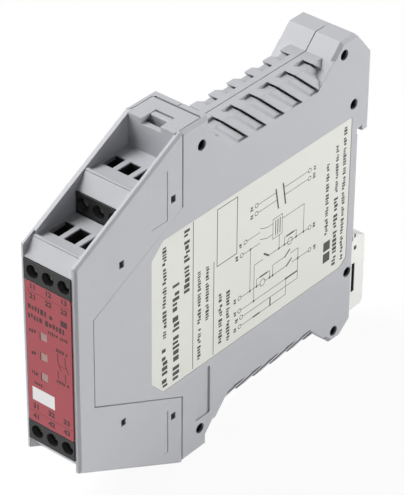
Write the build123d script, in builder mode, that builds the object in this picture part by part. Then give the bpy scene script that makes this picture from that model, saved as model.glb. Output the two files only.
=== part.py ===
"""Slim safety relay unit for a 35 mm rail, in millimetres.

+Z is up and the front faces -Y. The origin is at mid width and mid height, on the face that
rests against the rail. Side outlines are drawn on side_view, whose first coordinate is the
depth behind the front face and whose second is the height.
"""
import os
from math import atan2, cos, radians, sin, tan

from build123d import *

os.makedirs("parts", exist_ok=True)

# Overall size
width = 17.5
height = 100.0
depth = 108.0  # front face to rail seat
hook_reach = 4.0  # how far the rail hook stands behind the seat

# Housing walls and edges
wall = 1.6
front_wall = 1.4
thin_wall = 0.8  # left wall beside the front plate
thin_reach = 4.0
edge_bevel = 0.9
rim_bevel = 0.6
soft_bevel = 0.2
joint_gap = 0.12  # groove between two mouldings
open_gap = 0.25  # groove where the two mouldings end upright
tight_gap = 0.03
seat_gap = 0.1  # room round a piece that drops into a pocket
seam_groove = 0.15

# Rear housing, as depths behind the front face and heights above mid height
joint_depth = 38.5
joint_tight = 14.0  # depth from which the upper joint line closes up
block_rear = 48.3
block_slope_height = 46.6
block_slope = 48.0
tongue_front = 5.9
tongue_front_height = 25.8
tongue_rear_height = 57.6
mid_height = 86.0
mid_flat = 10.6
shoulder_height = 74.6
tower_start = 90.9
tower_slope = 46.0
tower_height = 94.0
tower_rear = 105.9
tower_hook_height = 39.5
foot_height = 46.5
foot_rear = 103.8
foot_bevel = 3.0

# Rail channel
rail_width = 35.0
rail_flange = 1.0
rail_play = 0.5
hook_slot = 1.9
hook_overlap = 1.0
latch_seat = 0.3  # how far the housing's rear stands in behind the hook and the latch

# Louvred vents
louvre_count = 6
louvre_first = 57.1
louvre_pitch = 7.07
louvre_ramp = 1.3
louvre_flat = 2.9
louvre_drop = 0.9
louvre_slot = 0.5
louvre_inner = 2.0  # distance of each pocket from the seam
louvre_extra = 0.3  # how far each pocket runs below the shoulder
louvre_skin = 0.35
louvre_tilt = 45.0

# Posts that join the half shells
post_hole = 3.0
post_wall = 1.1
post_pin = 2.7
post_reach = 6.0
post_fit = 0.03
board_post = 1.6
board_pin = 0.8
board_pin_fit = 0.05
board_post_places = ((43.5, 33.6), (87.0, 26.4))
post_places = ((45.3, 43.1), (101.0, 43.1), (105.9, 26.3))

# Terminal housing
top_plate = 1.6
slope_start = 30.4
slope_end = 37.6
riser_wall = 1.3
shelf_wall = 1.4
ridge_height = 31.6
ridge_depth = 3.3
ridge_width = 0.8
ridge_line = 0.2  # fine groove along the front of each ridge
ridge_line_drop = 0.2
shelf_height = 30.9
housing_rib = 1.05
back_wall = 1.6
entry_width = 3.5
entry_ends = ((7.4, 13.4), (26.5, 31.5))
notch_width = 6.0
notch_rear = 42.1
plate_rear = 46.0
snap_bar = 1.6
snap_bar_depth = 40.0
snap_nose = 1.5
panel_sunk = 0.15
panel_round = 0.5
panel_depth = (26.7, 32.8)
panel_height = (27.6, 41.9)
panel_low_depth = (30.6, 32.8)
panel_low_height = (-43.3, -29.8)

# Terminals
column_pitch = 5.0
level_depth = 18.1  # step from the front level to the rear level
level_rise = 9.8
screw_height = 24.0
strip_height = 6.1
block_proud = 0.3  # how far the lowest block's face stands before the walls
block_length = 18.2
block_drop = 2.9  # from the screw's axis to the block's lower face
block_half_width = 7.25
chamber_width = 3.8
chamber_length = 9.8
chamber_floor = 0.5
bore_radius = 1.85
web = 0.7
screw_radius = 1.25
screw_pitch = 0.45
screw_turns = 6
head_radius = 1.6
head_length = 1.6
head_set_back = 1.7
driver_slot = 0.5
driver_slot_depth = 0.7
thread_clearance = 0.05
head_gap = 0.05
cage_width = 3.5
cage_height = 4.4
cage_nut = 1.7
cage_side = 0.45
cage_back = 0.7
cage_clear = 0.3  # from the web to the nut when the clamp is shut
strip_thickness = 0.8
strip_width = 2.4
strip_gap = 0.2  # from the tip of the screw to the strip
strip_top = 2.9
strip_tail = 0.6
strip_run = 1.0
screw_tip = 5.8
cage_length = 6.6
snap_window = (1.6, 2.0)
snap_places = ((16.0, 23.7), (34.8, 32.9))

# Front plate
plate_thickness = 0.6
plate_proud = 0.35
plate_height = 41.8
plate_width = 14.6
plate_side = -0.1
indicator_width = 2.2
indicator_height = 2.4
indicator_pitch = 6.05
indicator_side = -1.95
indicator_rise = 0.25

# Board and what it carries
board_face = -4.4
board_thickness = 1.6
board_front = 6.6
board_front_half = 19.5
board_block_half = 29.3
board_mid_half = 37.0
board_tower_half = 28.4
board_mid_start = 38.8
board_mid_end = 89.0
board_end = 100.0
relay_depth = 52.0
relay_length = 34.0
relay_height = 28.0
relay_spacing = 32.0
relay_base = 2.0
relay_case_wall = 0.8
relay_top = 6.3
pin_radius = 0.4
pin_reach = 1.9
capacitor_radius = 4.5
capacitor_length = 16.0
capacitor_depth = 95.0
lead_radius = 0.3

# Rail latch and its spring
latch_width = 15.8
latch_bottom = 41.0
latch_top = 18.4
latch_lip = 2.2
latch_reach = 6.6
latch_gap = 0.3
latch_travel = 3.0
latch_neck = 5.6
latch_neck_height = 8.0
latch_neck_drop = 34.0
latch_head = 9.6
latch_head_thickness = 2.3
latch_head_width = 8.0
spring_radius = 0.85
spring_wire = 0.3
spring_turns = 4
spring_length = 4.6
peg_radius = 0.5
ledge_peg = 0.5
head_peg = 0.9

# Side label and the shallow recess beside it
label_thickness = 0.12
label_recess = 0.2
label_round = 0.5
recess = 0.5
recess_depth = (43.6, 49.2)
recess_height = (-40.0, -25.0)
label_margin = 0.1
label_corners = (
    (26.9, 18.6),
    (31.2, 22.6),
    (105.4, 22.5),
    (105.1, -21.0),
    (102.5, -23.0),
    (31.0, -23.0),
    (26.8, -18.5),
)

half = width / 2
rail_half = rail_width / 2
mid_half = mid_height / 2
shoulder = shoulder_height / 2
tower_half = tower_height / 2
block_half = height / 2
tongue_front_half = tongue_front_height / 2
tongue_rear_half = tongue_rear_height / 2
inner_half = half - front_wall
shell_inner = half - wall
tongue_slope = (tongue_rear_half - tongue_front_half) / (joint_depth - tongue_front)

foot_end = depth - latch_seat
seat_low = latch_top - latch_lip - latch_gap
seat_high = rail_half - hook_overlap - latch_gap
thin_half = half - thin_wall
plate_half_width = inner_half + seat_gap
plate_seat = plate_thickness - plate_proud
shelf_rear = level_depth - block_proud - 2 * seat_gap
cage_room = screw_pitch * screw_turns + cage_clear
latch_head_rear = depth - wall - latch_gap
spring_depth = latch_head_rear - latch_head_thickness / 2
spring_top = -latch_neck_drop - latch_head / 2
spring_floor = spring_top - spring_length

side_view = Plane(origin=(0, -depth, 0), x_dir=(0, 1, 0), z_dir=(1, 0, 0))


def side_at(x):
    """The side view moved to a distance from mid width."""
    return side_view.offset(x)


def slab(points, x, mode=Mode.ADD):
    """The side outline given by points, between two distances from mid width."""
    with BuildSketch(side_at(x[0])) as outline:
        with BuildLine():
            Polyline(*points, close=True)
        make_face()
    extrude(outline.sketch, amount=x[1] - x[0], mode=mode)


def block(x, d, z, mode=Mode.ADD):
    """A box between two distances from mid width, two depths and two heights."""
    with Locations(((x[0] + x[1]) / 2, (d[0] + d[1]) / 2 - depth, (z[0] + z[1]) / 2)):
        Box(abs(x[1] - x[0]), abs(d[1] - d[0]), abs(z[1] - z[0]), mode=mode)


def cross_pin(radius, x, d, z, mode=Mode.ADD):
    """A cylinder across the width at a depth and height."""
    with Locations(((x[0] + x[1]) / 2, d - depth, z)):
        Cylinder(radius, abs(x[1] - x[0]), rotation=(0, 90, 0), mode=mode)


def depth_pin(radius, x, d, z, mode=Mode.ADD):
    """A cylinder along the depth between two depths."""
    with Locations((x, (d[0] + d[1]) / 2 - depth, z)):
        Cylinder(radius, abs(d[1] - d[0]), rotation=(90, 0, 0), mode=mode)


def flipped(points):
    """The same side outline, mirrored about mid height."""
    return [(d, -z) for d, z in points]


def at_block_slope(z):
    """Depth of the slope behind the terminal block, at a height above mid height."""
    return block_rear + (block_slope_height - z) / tan(radians(block_slope))


def at_tower_slope(z):
    """Depth of the tower's front slope, at a height above mid height."""
    return tower_start + (z - shoulder) / tan(radians(tower_slope))


def at_tongue(d, gap):
    """Height of the tongue's sloping edge at a depth, with a gap outside it."""
    return tongue_front_half + (d - tongue_front) * tongue_slope + gap * (1 + tongue_slope / 2)


def wall_top(d):
    """Height of the terminal housing's sloping edge at a depth."""
    return slope_start + d * (block_half - slope_start) / slope_end


def shell_outline():
    """Side outline of the rear housing, from the front of the tongue round to it again."""
    hook_top = rail_half + rail_play
    hook_tip = rail_half - hook_overlap
    foot_slope = foot_height - mid_half
    return [
        (tongue_front, -tongue_front_half),
        (joint_depth, -tongue_rear_half),
        (joint_depth, -block_half),
        (block_rear, -block_half),
        (block_rear, -block_slope_height),
        (at_block_slope(mid_half), -mid_half),
        (at_tower_slope(mid_half), -mid_half),
        (at_tower_slope(mid_half) + foot_slope, -foot_height),
        (foot_rear, -foot_height),
        (foot_end, -foot_height + foot_bevel),
        (foot_end, -seat_low),
        (depth, -seat_low),
        (depth, seat_high),
        (foot_end, seat_high),
        (foot_end, hook_top),
        (depth + hook_slot, hook_top),
        (depth + hook_slot, hook_tip),
        (depth + hook_reach, hook_tip),
        (depth + hook_reach, tower_hook_height),
        (tower_rear, tower_half),
        (at_tower_slope(tower_half), tower_half),
        (at_tower_slope(mid_half), mid_half),
        (at_block_slope(mid_half), mid_half),
        (block_rear, block_slope_height),
        (block_rear, block_half),
        (joint_depth, block_half),
        (joint_depth, tongue_rear_half),
        (tongue_front, tongue_front_half),
    ]


def cavity_outline():
    """Side outline of the hollow, one wall inside the rear housing and open to the front."""
    block_step = wall / sin(radians(block_slope))
    tower_step = wall / sin(radians(tower_slope))
    inner_mid = mid_half - wall
    inner_block = block_rear - wall
    inner_corner = block_slope_height - (block_step - wall) * tan(radians(block_slope))
    roof = tower_half - wall
    floor = foot_height - wall
    floor_start = at_tower_slope(inner_mid) + tower_step + floor - inner_mid
    inner_rear = depth - wall
    below = [
        (0, -block_half - wall),
        (inner_block, -block_half - wall),
        (inner_block, -inner_corner),
        (at_block_slope(inner_mid) - block_step, -inner_mid),
        (at_tower_slope(inner_mid) + tower_step, -inner_mid),
        (floor_start, -floor),
        (foot_rear - wall / 2, -floor),
        (inner_rear, -foot_height + foot_bevel + wall / 2),
    ]
    above = [
        (inner_rear, tower_hook_height + wall),
        (tower_rear - wall / 2, roof),
        (at_tower_slope(roof) + tower_step, roof),
        (at_tower_slope(inner_mid) + tower_step, inner_mid),
        (at_block_slope(inner_mid) - block_step, inner_mid),
        (inner_block, inner_corner),
        (inner_block, block_half + wall),
        (0, block_half + wall),
    ]
    return below + above


def shoulder_wedge(inset):
    """What the sloping shoulder of the mid section takes off its square corner, moved inwards by inset."""
    slant = atan2(mid_half - shoulder, half - mid_flat / 2)
    shift = inset / sin(slant)
    outside = half + wall
    top = mid_half + wall
    low = shoulder - (shift + wall) * tan(slant)
    with BuildPart() as wedge:
        with BuildSketch(Plane.XZ.offset(depth)):
            with BuildLine():
                Polyline(
                    (mid_flat / 2 - shift - wall / tan(slant), top),
                    (outside, low),
                    (outside, top),
                    close=True,
                )
            make_face()
        extrude(amount=-(depth + hook_reach))
        with BuildSketch(side_view):
            with BuildLine():
                Polyline(
                    (at_block_slope(low) - inset / sin(radians(block_slope)), low),
                    (at_block_slope(top) - inset / sin(radians(block_slope)), top),
                    (at_tower_slope(top) + inset / sin(radians(tower_slope)), top),
                    (at_tower_slope(low) + inset / sin(radians(tower_slope)), low),
                    close=True,
                )
            make_face()
        extrude(amount=2 * width, mode=Mode.INTERSECT)
    return wedge.part


def louvre_plane(d):
    """Plane of a vent slot that starts at a depth on the mid section's top and leans back going down."""
    lean = radians(louvre_tilt)
    return Plane(origin=(0, d - depth, mid_half), x_dir=(1, 0, 0), z_dir=(0, sin(lean), cos(lean)))


def louvre_section(drop):
    """Points, across and down the slot's plane, between the lowered shoulder outline and the air."""
    stretch = 1 / sin(radians(louvre_tilt))
    fall = (mid_half - shoulder + louvre_extra) * stretch
    slant = atan2(mid_half - shoulder, half - mid_flat / 2)
    side_shift = drop / sin(slant) - louvre_extra / tan(slant)
    corner_shift = (drop / sin(slant)) - drop / tan(slant)
    return [
        (louvre_inner, drop * stretch),
        (mid_flat / 2 - corner_shift, drop * stretch),
        (half - side_shift, fall),
        (half + wall, fall),
        (half + wall, -wall),
        (louvre_inner, -wall),
    ]


def louvres():
    """All vent pockets of the top right quarter, with the slot at the deep end of each."""
    stretch = 1 / sin(radians(louvre_tilt))
    fall = (mid_half - shoulder + louvre_extra) * stretch
    with BuildPart() as vents:
        for number in range(louvre_count):
            d = louvre_first + number * louvre_pitch
            floor_start = d - louvre_flat
            drops = {floor_start - louvre_ramp: 0, floor_start: louvre_drop, d: louvre_drop}
            for place, drop in drops.items():
                with BuildSketch(louvre_plane(place)):
                    with BuildLine():
                        Polyline(*louvre_section(drop), close=True)
                    make_face()
            loft(ruled=True)
            with BuildSketch(louvre_plane(d)):
                with BuildLine():
                    Polyline(
                        (louvre_inner, 0),
                        (louvre_inner, (wall + louvre_drop) * stretch),
                        (shell_inner - 2 * wall, (wall + louvre_drop) * stretch),
                        (shell_inner - louvre_drop, fall),
                        (half - louvre_skin, fall),
                        (mid_flat / 2, 0),
                        close=True,
                    )
                make_face()
            extrude(amount=-louvre_slot)
        with BuildSketch(side_view):
            with BuildLine():
                Polyline(
                    (at_block_slope(shoulder - wall), shoulder - wall),
                    (at_block_slope(tower_half), tower_half),
                    (at_tower_slope(tower_half), tower_half),
                    (at_tower_slope(shoulder - wall), shoulder - wall),
                    close=True,
                )
            make_face()
        extrude(amount=width, mode=Mode.INTERSECT)
    return vents.part


def hollow():
    """The right half of the rear housing's inside."""
    corner = shoulder_wedge(wall)
    with BuildPart() as room:
        slab(cavity_outline(), (0, shell_inner))
        add(corner, mode=Mode.SUBTRACT)
        add(mirror(corner, about=Plane.XY), mode=Mode.SUBTRACT)
    return room.part


def seam_rim():
    """A shallow step round the outside of the shell's outline, before its rear face."""
    with BuildPart() as rim:
        with BuildSketch(side_view):
            with BuildLine():
                Polyline(*shell_outline(), close=True)
            make_face()
            offset(amount=-seam_groove, kind=Kind.INTERSECTION, mode=Mode.SUBTRACT)
            with Locations(((joint_depth + foot_rear) / 2, 0)):
                Rectangle(foot_rear - joint_depth, 2 * height, mode=Mode.INTERSECT)
        extrude(amount=seam_groove)
    return rim.part


def half_shell(bevel, vents, room, rim):
    """The right half shell without its posts: outline, hollow, shoulders, vents and latch slot."""
    corner = shoulder_wedge(0)
    ledge_front = spring_depth - latch_head_thickness / 2 - wall
    foot_run = (foot_bevel / (foot_end - foot_rear)) * (latch_head_rear + latch_gap - foot_rear)
    with BuildPart() as shell:
        slab(shell_outline(), (0, half))
        outer = shell.edges().filter_by(Plane.YZ).group_by(Axis.X)[-1]
        joint_y = joint_depth - depth
        soft = [e for e in outer if joint_y + joint_gap < e.center().Y < 0]
        soft = [e for e in soft if abs(e.center().Z) > mid_half + joint_gap]
        chamfer(soft, length=bevel)
        add(rim, mode=Mode.SUBTRACT)
        add(room, mode=Mode.SUBTRACT)
        add(corner, mode=Mode.SUBTRACT)
        add(mirror(corner, about=Plane.XY), mode=Mode.SUBTRACT)
        add(vents, mode=Mode.SUBTRACT)
        add(mirror(vents, about=Plane.XY), mode=Mode.SUBTRACT)
        floor = block_half - top_plate - joint_gap
        nose = [
            (snap_bar_depth, floor),
            (snap_bar_depth, floor + snap_nose - soft_bevel),
            (snap_bar_depth + soft_bevel, floor + snap_nose),
            (snap_bar_depth + snap_bar, floor + snap_nose),
            (snap_bar_depth + snap_bar, floor - joint_gap),
            (snap_bar_depth, floor - joint_gap),
        ]
        for side in (1, -1):
            # seat of the terminal housing's top plate, the bar under it and the nose in its window
            block(
                (0, plate_half_width + open_gap),
                (joint_depth - wall, plate_rear + open_gap),
                (side * floor, side * (block_half + wall)),
                mode=Mode.SUBTRACT,
            )
            block(
                (0, shell_inner + wall / 2),
                (snap_bar_depth, snap_bar_depth + snap_bar),
                (side * (floor - snap_bar), side * floor),
            )
            slab(nose if side > 0 else flipped(nose), (0, notch_width / 2 - seat_gap))
        # slot for the latch's neck, with its travel
        slot_top = -latch_neck_drop + latch_neck_height / 2 + latch_gap
        slot_bottom = -latch_neck_drop - latch_neck_height / 2 - latch_travel - latch_gap
        block(
            (0, latch_neck / 2 + latch_gap),
            (depth - 2 * wall, depth + wall),
            (slot_bottom, slot_top),
            mode=Mode.SUBTRACT,
        )
        # ledge under the latch spring
        slab(
            [
                (ledge_front, spring_floor),
                (latch_head_rear + latch_gap + joint_gap, spring_floor),
                (latch_head_rear + latch_gap + joint_gap, foot_run - foot_height + joint_gap),
                (foot_rear, -foot_height + wall / 2),
                (ledge_front, -foot_height + wall / 2),
            ],
            (0, shell_inner + wall / 2),
        )
        with Locations((0, spring_depth - depth, spring_floor + ledge_peg / 2 - joint_gap)):
            Cylinder(peg_radius, ledge_peg + 2 * joint_gap)
        block((-width, 0), (0, 2 * depth), (-height, height), mode=Mode.SUBTRACT)
    return shell.part


def label_outline(margin):
    """The side label's outline, grown outwards by margin."""
    with BuildSketch(side_at(half - label_recess)) as outline:
        with BuildLine():
            Polyline(*label_corners, close=True)
        make_face()
        fillet(outline.vertices(), radius=label_round)
        if margin > 0:
            offset(amount=margin, kind=Kind.ARC)
    return outline.sketch


def post_outline(d, z, reach):
    """A round boss at a depth and height, kept inside the wall behind the latch."""
    rear = depth - latch_seat
    with BuildSketch(side_at(reach)) as outline:
        with Locations((d, z)):
            Circle(post_hole / 2 + post_wall)
        with Locations((rear / 2, 0)):
            Rectangle(rear, height, mode=Mode.INTERSECT)
    return outline.sketch


def panel_outline(d, z, sunk):
    """A round-cornered rectangle between two depths and two heights, on a plane sunk in the right side."""
    with BuildSketch(side_at(half - sunk)) as outline:
        with Locations(((d[0] + d[1]) / 2, (z[0] + z[1]) / 2)):
            RectangleRounded(d[1] - d[0], z[1] - z[0], panel_round)
    return outline.sketch


vents = louvres()
room = hollow()
rim = seam_rim()

with BuildPart() as right_shell:
    add(half_shell(edge_bevel, vents, room, rim))
    for d, z in post_places:
        for side in (1, -1):
            extrude(post_outline(d, side * z, 0), amount=shell_inner + wall / 2)
            socket = (-wall, half - post_reach - wall / 2)
            cross_pin(post_hole / 2, (half - post_reach, half + wall), d, side * z, mode=Mode.SUBTRACT)
            cross_pin(post_pin / 2 + post_fit, socket, d, side * z, mode=Mode.SUBTRACT)
    extrude(label_outline(label_margin), amount=label_recess + wall, mode=Mode.SUBTRACT)
    extrude(panel_outline(recess_depth, recess_height, recess), amount=wall, mode=Mode.SUBTRACT)
right_shell.part.label = "right_shell"
export_step(right_shell.part, "parts/right_shell.step")

with BuildPart() as left_shell:
    add(mirror(half_shell(soft_bevel, vents, room, rim), about=Plane.YZ))
    for d, z in post_places:
        for side in (1, -1):
            extrude(post_outline(d, side * z, -shell_inner - wall / 2), amount=shell_inner + wall / 2)
            cross_pin(post_pin / 2, (-wall, half - post_reach - wall), d, side * z)
    for d, z in board_post_places:
        for side in (1, -1):
            cross_pin(board_post, (-shell_inner - wall / 2, board_face - board_thickness), d, side * z)
            cross_pin(board_pin, (-shell_inner, board_face + board_pin), d, side * z)
left_shell.part.label = "left_shell"
export_step(left_shell.part, "parts/left_shell.step")


# Terminal housing
def riser_outline(level):
    """Side outline of one riser with its ridge and the shelf behind it; level 0 is the front one."""
    out = level * level_depth
    up = level * level_rise
    foot = plate_height / 2 + strip_height + 0.1
    lean = ridge_depth / (ridge_height - foot)
    slant = (1 + lean * lean) ** 0.5
    below = shelf_height - shelf_wall
    inner = riser_wall * slant
    rear = shelf_rear if level == 0 else joint_depth - joint_gap - level_depth
    line_top = (ridge_depth - ridge_line_drop * lean / slant, ridge_height - ridge_line_drop / slant)
    line_low = (line_top[0] - ridge_line * lean / slant, line_top[1] - ridge_line / slant)
    sink = (ridge_line / slant, -ridge_line * lean / slant)
    points = [
        (0, foot),
        line_low,
        (line_low[0] + sink[0], line_low[1] + sink[1]),
        (line_top[0] + sink[0], line_top[1] + sink[1]),
        line_top,
        (ridge_depth, ridge_height),
        (ridge_depth + ridge_width, ridge_height),
        (ridge_depth + ridge_width, shelf_height),
        (rear, shelf_height),
        (rear, below),
        (inner + (below - foot) * lean, below),
        (inner, foot),
    ]
    return [(d + out, z + up) for d, z in points]


def side_wall_outline():
    """Side outline of the terminal housing's walls, from the top of the front round to the tongue."""
    front_inner = tongue_front - open_gap
    rear_inner = joint_depth - open_gap
    outside = [(rear_inner, block_half), (slope_end, block_half), (0, slope_start)]
    upper = [
        (front_inner, at_tongue(tongue_front, joint_gap)),
        (tongue_front, at_tongue(tongue_front, joint_gap)),
        (joint_tight, at_tongue(joint_tight, tight_gap)),
        (rear_inner, at_tongue(rear_inner, tight_gap)),
    ]
    lower = [
        (front_inner, at_tongue(tongue_front, open_gap)),
        (rear_inner, at_tongue(rear_inner, open_gap)),
    ]
    return upper + outside + flipped(lower + outside)[::-1]


def indicator_span(row, gap=0):
    """Lowest and highest point of one indicator window, narrowed by a gap on both sides."""
    middle = row * indicator_pitch + indicator_rise
    reach = indicator_height / 2 - gap
    return (middle - reach, middle + reach)


with BuildPart() as terminal_housing:
    for x in (-half, inner_half):
        slab(side_wall_outline(), (x, x + front_wall))
    for x, bevel in ((half, rim_bevel), (-half, soft_bevel)):
        rim_edges = terminal_housing.edges().filter_by(Plane.YZ)
        rim_edges = rim_edges.filter_by_position(Axis.X, x - 0.01, x + 0.01)
        slopes = rim_edges.filter_by_position(Axis.Y, -depth + 1, joint_depth - depth - wall)
        slopes = [e for e in slopes if abs(e.center().Z) > at_tongue(e.center().Y + depth, wall)]
        front = rim_edges.filter_by_position(Axis.Y, -depth - 0.01, -depth + 0.01)
        chamfer(slopes + list(front), length=bevel)
        upright = terminal_housing.edges().filter_by(Axis.Z)
        upright = upright.filter_by_position(Axis.X, x - 0.01, x + 0.01).group_by(Axis.Y)[-1]
        chamfer(upright, length=soft_bevel)
    block((-thin_half, -inner_half), (-1, thin_reach), (-height, height), mode=Mode.SUBTRACT)
    block((-thin_half - seat_gap, plate_half_width), (plate_seat, plate_seat + back_wall), (-21.0, 21.0))
    for side in (1, -1):
        for level in (0, 1):
            outline = riser_outline(level)
            slab(outline if side > 0 else flipped(outline), (-thin_half - seat_gap, plate_half_width))
            for column in (-column_pitch, 0, column_pitch):
                shelf = side * (shelf_height + level * level_rise)
                block(
                    (column - entry_width / 2, column + entry_width / 2),
                    entry_ends[level],
                    (shelf - side * 2 * shelf_wall, shelf + side * 0.1),
                    mode=Mode.SUBTRACT,
                )
            axis = screw_height + level * level_rise
            near = level * level_depth - block_proud
            for x in (-1, 1):
                # rib under the terminal block and the window for its snap nub
                block(
                    (x * (inner_half - housing_rib), x * (inner_half + front_wall / 2)),
                    (near + 2.2, near + block_length - 1),
                    (side * (axis - block_drop - 0.05), side * (axis - block_drop - housing_rib)),
                )
                d, z = snap_places[level]
                block(
                    (x * (inner_half - wall), x * (half + wall)),
                    (d - snap_window[0] / 2, d + snap_window[0] / 2),
                    (side * (z - snap_window[1] / 2), side * (z + snap_window[1] / 2)),
                    mode=Mode.SUBTRACT,
                )
        block(
            (-plate_half_width, plate_half_width),
            (joint_depth - joint_gap - back_wall, joint_depth - joint_gap),
            (side * (shelf_height + level_rise - shelf_wall), side * block_half),
        )
        block(
            (-plate_half_width, plate_half_width),
            (slope_end - 0.8, plate_rear),
            (side * (block_half - top_plate), side * block_half),
        )
        block(
            (-notch_width / 2, notch_width / 2),
            (slope_end - 2, notch_rear),
            (side * (block_half - top_plate), side * (block_half + 1)),
            mode=Mode.SUBTRACT,
        )
    for row in (-1, 0, 1):
        block(
            (indicator_side - indicator_width / 2, indicator_side + indicator_width / 2),
            (0, board_front),
            indicator_span(row),
            mode=Mode.SUBTRACT,
        )
    extrude(panel_outline(panel_depth, panel_height, panel_sunk), amount=wall, mode=Mode.SUBTRACT)
    extrude(panel_outline(panel_low_depth, panel_low_height, panel_sunk), amount=wall, mode=Mode.SUBTRACT)
terminal_housing.part.label = "terminal_housing"
export_step(terminal_housing.part, "parts/terminal_housing.step")


# Terminals
def terminal_block_part(level):
    """One terminal block of the top half, with a bore and a chamber for each screw and clamp."""
    near = level * level_depth - block_proud
    axis = screw_height + level * level_rise
    foot = plate_height / 2 + strip_height + level * level_rise
    below = shelf_height - shelf_wall + level * level_rise - 0.1
    lean = ridge_depth / (ridge_height - plate_height / 2 - strip_height - 0.1)
    inner = level * level_depth + riser_wall * (1 + lean * lean) ** 0.5 + 0.15
    bore_end = near + head_set_back + head_length + head_gap
    start = bore_end + web
    end = start + chamber_length
    with BuildPart() as body:
        slab(
            [
                (near, axis - block_drop),
                (near, foot),
                (inner, foot),
                (inner + (below - foot) * lean, below),
                (near + block_length, below),
                (near + block_length, axis - block_drop),
            ],
            (-block_half_width, block_half_width),
        )
        if level == 0:
            # the face is wider on the left, where the wall beside it is thinner
            block((0.15 - thin_half, 0), (near, thin_reach - 0.15), (axis - block_drop, foot))
        for column in (-column_pitch, 0, column_pitch):
            depth_pin(bore_radius, column, (near - 1, bore_end), axis, mode=Mode.SUBTRACT)
            depth_pin(screw_radius + 0.2, column, (near, start + 1), axis, mode=Mode.SUBTRACT)
            block(
                (column - chamber_width / 2, column + chamber_width / 2),
                (start, end),
                (axis - block_drop + chamber_floor, below + 1),
                mode=Mode.SUBTRACT,
            )
            strip = near + head_set_back + head_length + screw_tip + strip_gap
            block(
                (column - strip_width / 2 - 0.05, column + strip_width / 2 + 0.05),
                (strip - 0.05, strip + strip_thickness + 0.05),
                (axis - block_drop - 1, axis),
                mode=Mode.SUBTRACT,
            )
        for x in (-1, 1):
            d, z = snap_places[level]
            block(
                (x * (block_half_width - 0.5), x * (inner_half + seat_gap)),
                (d - snap_window[0] / 2 + 0.1, d + snap_window[0] / 2 - 0.1),
                (z - snap_window[1] / 2 + 0.1, z + snap_window[1] / 2 - 0.1),
            )
    return body.part


def contact_strip_part(level, column):
    """One contact strip of the top half: it crosses its clamp and ends in a tab on the board."""
    near = level * level_depth - block_proud + head_set_back + head_length + screw_tip + strip_gap
    axis = screw_height + level * level_rise
    edge = board_front_half if level == 0 else board_block_half
    ends = {-column_pitch: edge + 0.8, 0: edge - 4.5, column_pitch: edge - 7.0}
    low = ends[column]
    tab = (board_face + 0.05, board_face + 0.05 + strip_tail)
    with BuildPart() as strip:
        block(
            (column - strip_width / 2, column + strip_width / 2),
            (near, near + strip_thickness),
            (low, axis + strip_top),
        )
        if column < 0:
            block(tab, (near, near + strip_thickness), (edge - 2, low + 1))
        else:
            foot = (tab[0], column + strip_width / 2)
            block(foot, (near, near + strip_thickness), (low, low + strip_run))
    return strip.part


levels = (("front", 0), ("rear", 1))
columns = (("left", -column_pitch), ("mid", 0), ("right", column_pitch))
sides = (("top", 1), ("bottom", -1))
blocks = {level: terminal_block_part(level) for name, level in levels}
strips = {
    (level, column): contact_strip_part(level, column)
    for level_name, level in levels
    for column_name, column in columns
}

for side_name, side in sides:
    for level_name, level in levels:
        with BuildPart() as terminal_block:
            if side > 0:
                add(blocks[level])
            else:
                add(mirror(blocks[level], about=Plane.XY))
        terminal_block.part.label = f"terminal_block_{side_name}_{level_name}"
        export_step(terminal_block.part, f"parts/terminal_block_{side_name}_{level_name}.step")
        near = level * level_depth - block_proud + head_set_back
        axis = side * (screw_height + level * level_rise)
        web_rear = near + head_length + head_gap + web
        for column_name, column in columns:
            place = f"{side_name}_{level_name}_{column_name}"
            with BuildPart() as terminal_screw:
                depth_pin(head_radius, column, (near, near + head_length), axis)
                depth_pin(screw_radius, column, (near, near + head_length + screw_tip), axis)
                block(
                    (column - driver_slot / 2, column + driver_slot / 2),
                    (near - 1, near + driver_slot_depth),
                    (axis - 2, axis + 2),
                    mode=Mode.SUBTRACT,
                )
            terminal_screw.part.label = f"terminal_screw_{place}"
            export_step(terminal_screw.part, f"parts/terminal_screw_{place}.step")
            cage = web_rear + cage_room
            back = cage + cage_length
            with BuildPart() as clamp_cage:
                block(
                    (column - cage_width / 2, column + cage_width / 2),
                    (cage, back),
                    (axis - cage_height / 2, axis + cage_height / 2),
                )
                block(
                    (column - cage_width / 2 + cage_side, column + cage_width / 2 - cage_side),
                    (cage + cage_nut, back - cage_back),
                    (axis - cage_height, axis + cage_height),
                    mode=Mode.SUBTRACT,
                )
                tapped = screw_radius + thread_clearance
                depth_pin(tapped, column, (cage - 1, cage + cage_nut + 1), axis, mode=Mode.SUBTRACT)
            clamp_cage.part.label = f"clamp_cage_{place}"
            export_step(clamp_cage.part, f"parts/clamp_cage_{place}.step")
            with BuildPart() as contact_strip:
                if side > 0:
                    add(strips[(level, column)])
                else:
                    add(mirror(strips[(level, column)], about=Plane.XY))
            contact_strip.part.label = f"contact_strip_{place}"
            export_step(contact_strip.part, f"parts/contact_strip_{place}.step")

# Front plate, light guide and side label
with BuildPart() as front_plate:
    block(
        (plate_side - plate_width / 2, plate_side + plate_width / 2),
        (-plate_proud, plate_seat),
        (-plate_height / 2, plate_height / 2),
    )
    fillet(front_plate.edges().filter_by(Axis.Y), radius=0.4)
    for row in (-1, 0, 1):
        block(
            (indicator_side - indicator_width / 2, indicator_side + indicator_width / 2),
            (-1, 1),
            indicator_span(row),
            mode=Mode.SUBTRACT,
        )
front_plate.part.label = "front_plate"
export_step(front_plate.part, "parts/front_plate.step")

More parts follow.
